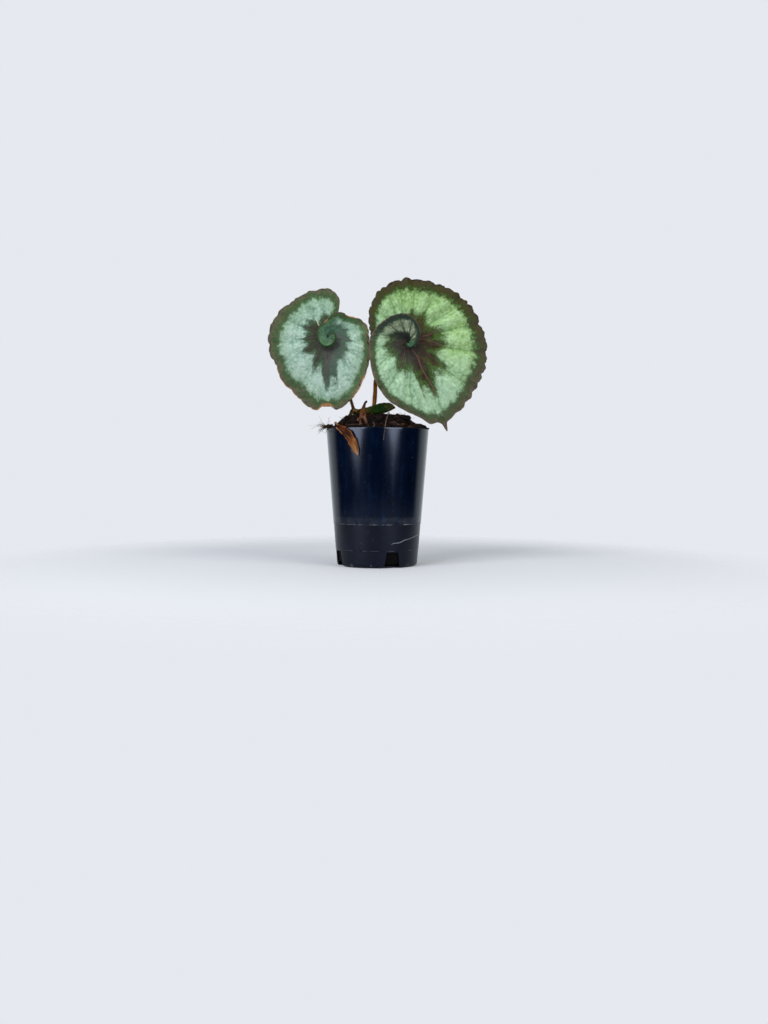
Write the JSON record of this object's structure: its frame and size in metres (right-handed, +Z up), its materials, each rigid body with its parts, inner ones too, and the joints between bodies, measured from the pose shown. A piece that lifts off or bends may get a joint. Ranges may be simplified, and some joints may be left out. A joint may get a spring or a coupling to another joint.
{
  "type": "potted spiral-leaf begonia",
  "caption": "Small rhizomatous begonia with silvery snail-spiral leaves on bare stalks, rooted in a mound of potting mix in a tapered black nursery pot that stands on its flat base.",
  "frame": {"origin": "centre of the pot's flat underside, on the surface it stands on", "axes": "+Z up along the pot's axis; the leaves' patterned faces look towards -Y; +X to the right seen from the front"},
  "size_m": [0.2123, 0.101, 0.2764],
  "materials": {
    "pot_plastic": "glossy moulded black polypropylene, satin and scuffed below the stacking shoulder",
    "peat": "matt fibrous peat and bark fines",
    "rhizome_skin": "knobbly olive-brown skin",
    "stalk_skin": "slightly glossy orange-brown stalk with short hairs",
    "leaf_blade": "quilted silver-green band between a dark star centre and a brown scalloped margin",
    "young_leaf_blade": "dark green young blade, still folded",
    "dry_tissue": "dry papery brown tissue with lengthwise streaks",
    "root_skin": "pale dry root",
    "bark": "dark red-brown bark lump"
  },
  "bodies": {
    "root": {"pot": "pot_plastic", "potting_mix": "peat", "rhizome": "rhizome_skin", "stalk_right": "stalk_skin", "stalk_left": "stalk_skin", "leaf_right": "leaf_blade", "leaf_left": "leaf_blade", "young_leaf": "young_leaf_blade", "young_stalk": "stalk_skin", "dry_stub": "dry_tissue", "dried_bract": "dry_tissue", "hanging_root": "root_skin", "rim_clump": "peat", "bark_1": "bark", "bark_2": "bark", "bark_3": "bark", "bark_4": "bark", "bark_5": "bark", "bark_6": "bark", "bark_7": "bark", "bark_8": "bark", "bark_9": "bark", "bark_10": "bark"}
  },
  "joints": []
}
